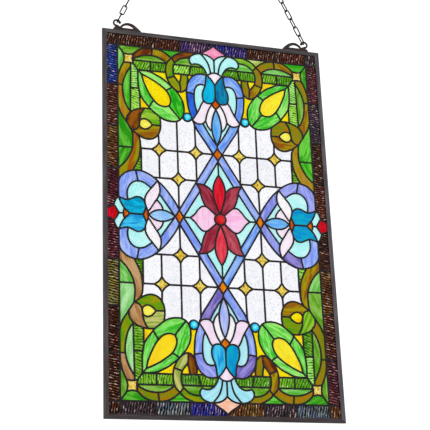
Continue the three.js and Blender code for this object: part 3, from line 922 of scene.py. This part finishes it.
# -------- frame channels
def rounded(points, radii, steps=4):
    """A closed outline with its corners rounded, each by its own radius."""
    out = []
    for k, (point, radius) in enumerate(zip(points, radii)):
        here = Vector(point)
        if radius == 0:
            out.append(here)
            continue
        before = (Vector(points[k - 1]) - here).normalized()
        after = (Vector(points[(k + 1) % len(points)]) - here).normalized()
        half_turn = before.angle(after) / 2
        middle = here + (before + after).normalized() * (radius / math.sin(half_turn))
        start, end = (here + way * (radius / math.tan(half_turn)) - middle for way in (before, after))
        out += [middle + start.slerp(end, j / steps) for j in range(steps + 1)]
    return out


OUTER_RADIUS = 1.3
MITRE_GAP, CHANNEL_STEPS = 0.05, 12
half_depth, half_groove = DEPTH / 2, GROOVE / 2
lip_radius = (half_depth - half_groove) / 2 - 0.02
# The channel's section: how far in from the panel's edge, and through the panel.
CHANNEL = rounded(
    [(0, -half_depth), (FACE, -half_depth), (FACE, -half_groove), (WEB, -half_groove),
     (WEB, half_groove), (FACE, half_groove), (FACE, half_depth), (0, half_depth)],
    [OUTER_RADIUS, lip_radius, lip_radius, 0, 0, lip_radius, lip_radius, OUTER_RADIUS])


def channel(name, sign, upright, material):
    """One mitred length of the frame, with the sign of the side that it is on."""
    reach, half_length = (HALF_WIDTH, HALF_HEIGHT) if upright else (HALF_HEIGHT, HALF_WIDTH)
    build = Build()
    rings = []
    for k in range(CHANNEL_STEPS + 1):
        ring = []
        for inward, through in CHANNEL:
            along = (2 * k / CHANNEL_STEPS - 1) * (half_length - inward - MITRE_GAP)
            across = sign * (reach - inward)
            ring.append(world(across, through, along) if upright else world(along, through, across))
        rings.append(ring)
    build.rings(rings)
    piece = new_object(f"{name}_channel", build.verts, build.faces, [material])
    piece.data.set_sharp_from_angle(angle=math.radians(40))
    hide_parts(name)


channel("frame_left", -1, True, ZINC_UPRIGHT)
channel("frame_right", 1, True, ZINC_LIT_UPRIGHT)
channel("frame_top", 1, False, ZINC_RAIL)
channel("frame_bottom", -1, False, ZINC_SHADED_SILL)

# -------- hangers
# Sizes in millimetres, and the hook's angles in degrees.
HANGER_WIRE, HANGER_GAP = 3.8, 0.3
HOOK = {"u": 226.0, "v": 456.0, "radius": 7.2, "start": -80, "end": 165, "ball": 3.3, "seat": 1.5}
# How far out each section of the base plate is, with its top, and the radius of its edges.
PLATE = [(170.5, 439.4), (172, 442.4), (176, 444.2), (184, 444.7), (222, 444.7), (229, 445.2), (232, 444.2),
         (234.6, 440.2)]
PLATE_EDGE = 0.8
# The arch, its radius at its foot, how far that tapers, and how far it reaches to the front and back.
ARCH = [(176, 440.3), (182, 446.4), (188.5, 451.8), (195, 454.9), (201.5, 455.7), (208, 453.9),
        (213.5, 450.2), (218, 444.5)]
ARCH_FOOT, ARCH_TAPER, ARCH_DEPTH = 4.5, 2.2, 2.4
# Where the hook leaves the plate, its radius, and how much stouter it is at the foot and at the ball.
HOOK_FOOT = [(219.0, 443.2), (222.3, 446.6)]
HOOK_RADIUS, FOOT_SWELL, BALL_SWELL = 2.2, 1.2, 0.6


def hanger(side):
    """A base plate with an arch over it and an open hook that ends in a ball."""
    build = Build()
    half, foot = HANGER_WIRE / 2, HALF_HEIGHT + HANGER_GAP
    rings = []
    for u, top in PLATE:
        radii = [min(PLATE_EDGE, (top - foot) / 3)] * 4
        section = rounded([(-half, foot), (half, foot), (half, top), (-half, top)], radii, 3)
        rings.append([world(side * u, y, z) for y, z in section])
    build.rings(rings)

    arch = smooth(ARCH, 1.6)
    shares = [k / (len(arch) - 1) for k in range(len(arch))]
    radii = [(ARCH_FOOT - ARCH_TAPER * share) * MM for share in shares]
    wire(build, [world(side * u, 0, v) for u, v in arch], radii, 14, depth_limit=ARCH_DEPTH * MM)

    path = list(HOOK_FOOT)
    for k in range(25):
        angle = math.radians(HOOK["start"] + (HOOK["end"] - HOOK["start"]) * k / 24)
        path.append((HOOK["u"] + HOOK["radius"] * math.cos(angle),
                     HOOK["v"] + HOOK["radius"] * math.sin(angle)))
    shares = [k / (len(path) - 1) for k in range(len(path))]
    radii = [(HOOK_RADIUS + FOOT_SWELL * max(0.0, 1 - 4 * share)
              + BALL_SWELL * max(0.0, 3 * share - 2)) * MM for share in shares]
    wire(build, [world(side * u, 0, v) for u, v in path], radii, 12)

    tip_u, tip_v = path[-1]
    rings = []
    for k in range(9):
        angle = math.pi * (0.06 + 0.88 * k / 8)
        ring, up = circle(0, 0, HOOK["ball"] * math.sin(angle), 14)[:-1], HOOK["ball"] * math.cos(angle)
        rings.append([world(side * (tip_u + u), y, tip_v + up) for u, y in ring])
    build.rings(rings)
    return build


for side, side_name in SIDES.items():
    build = hanger(side)
    piece = new_object(f"hanger_{side_name}_forged", build.verts, build.faces, [IRON])
    piece.data.set_sharp_from_angle(angle=math.radians(50))
    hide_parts(f"hanger_{side_name}")

# -------- chains and ring
LINK = {"wire": 2.9, "length": 28.7, "width": 12.5, "count": 23, "steps": 10}
RING = {"inner": 12.0, "wire": 3.2, "steps": 64}
# How far the chains come in for each millimetre that they go up.
CHAIN_SLOPE = 0.4545
lean = math.atan(CHAIN_SLOPE)
rise_u, rise_v = -math.sin(lean), math.cos(lean)
hook_u, hook_v = HOOK["u"] + HOOK["radius"] * rise_u, HOOK["v"] + HOOK["radius"] * rise_v
pitch = LINK["length"] - 2 * LINK["wire"]
first = (LINK["length"] - LINK["wire"]) / 2 - (LINK["wire"] + HANGER_WIRE) / 2 - HOOK["seat"]
bend, straight = (LINK["width"] - LINK["wire"]) / 2, (LINK["length"] - LINK["width"]) / 2


def link_path(side, index):
    """The middle line of one link of a chain. Every second one lies flat, the others stand across."""
    along = first + index * pitch
    path = []
    for end in (0, 1):
        for k in range(LINK["steps"] + 1):
            angle = math.pi * (end + k / LINK["steps"])
            lengthwise = bend * math.sin(angle) + (-straight if end else straight)
            sideways = bend * math.cos(angle)
            flat, through = (sideways, 0) if index % 2 else (0, sideways)
            u = hook_u + along * rise_u + (lengthwise * rise_u + flat * rise_v)
            v = hook_v + along * rise_v + (lengthwise * rise_v - flat * rise_u)
            path.append(world(side * u, through, v))
    return path


for side, side_name in SIDES.items():
    build = Build()
    for index in range(LINK["count"]):
        path = link_path(side, index)
        wire(build, path, [LINK["wire"] / 2 * MM] * len(path), 10, True)
    piece = new_object(f"chain_{side_name}_links", build.verts, build.faces, [CHAIN_IRON])
    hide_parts(f"chain_{side_name}")

ring_low, ring_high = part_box("hanging_ring")
ring_z = (ring_low.z + ring_high.z) / 2
ring_radius = (RING["inner"] + RING["wire"] / 2) * MM
path = [(x, 0, ring_z + z) for x, z in circle(0, 0, ring_radius, RING["steps"])[:-1]]
build = Build()
wire(build, path, [RING["wire"] / 2 * MM] * len(path), 14, True)
piece = new_object("hanging_ring_bent", build.verts, build.faces, [IRON])
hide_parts("hanging_ring")

# -------- camera, floor and light
# In metres from the middle of the panel. The axes point to the right, up and forward in the picture.
CAMERA_PLACE = Vector((-0.74962, -2.27356, -0.86869))
RIGHT, UP = Vector((0.95455, -0.29580, -0.03663)), Vector((-0.06943, -0.34020, 0.93779))
FORWARD = Vector((0.28986, 0.89262, 0.34527))
camera = bpy.data.objects.new("camera", bpy.data.cameras.new("camera"))
camera.data.lens = 98.14
camera.data.sensor_width = 36
camera.data.clip_end = 50
turn = Matrix((RIGHT, UP, -FORWARD)).transposed()
camera.matrix_world = Matrix.Translation(CAMERA_PLACE + Vector((0, 0, CENTRE_Z))) @ turn.to_4x4()
bpy.context.scene.collection.objects.link(camera)
bpy.context.scene.camera = camera

FLOOR_Z, FLOOR_REACH = -2.35, 12
floor_mesh = bpy.data.meshes.new("floor")
floor_corners = [(x * FLOOR_REACH, y * FLOOR_REACH, FLOOR_Z) for x, y in QUARTERS]
floor_mesh.from_pydata(floor_corners, [], [(2, 3, 1, 0)])
floor = bpy.data.objects.new("floor", floor_mesh)
bpy.context.scene.collection.objects.link(floor)
n = Nodes("pale_floor")
n.shader.inputs["Base Color"].default_value = (0.86, 0.86, 0.86, 1)
n.shader.inputs["Roughness"].default_value = 0.9
floor_mesh.materials.append(n.material)


def softbox(name, place, size, power):
    """A square lamp aimed at the middle of the panel, its size in metres and its power in watts."""
    light = bpy.data.lights.new(name, "AREA")
    light.size = size
    light.energy = power
    lamp = bpy.data.objects.new(name, light)
    lamp.location = place
    lamp.rotation_euler = (Vector((0, 0, CENTRE_Z)) - Vector(place)).to_track_quat("-Z", "Y").to_euler()
    bpy.context.scene.collection.objects.link(lamp)


softbox("key", (-2.2, -3.0, 1.2), 0.7, 12)
softbox("fill", (2.0, -2.8, -0.5), 0.7, 9)
softbox("back", (1.4, 2.2, 2.2), 0.8, 8)

studio = bpy.data.worlds.new("studio")
studio.use_nodes = True
sky = studio.node_tree.nodes["Background"].inputs
sky["Color"].default_value = (1, 1, 1, 1)
sky["Strength"].default_value = 1.2
bpy.context.scene.world = studio
bpy.context.scene.view_settings.view_transform = "Standard"

bpy.context.view_layer.update()
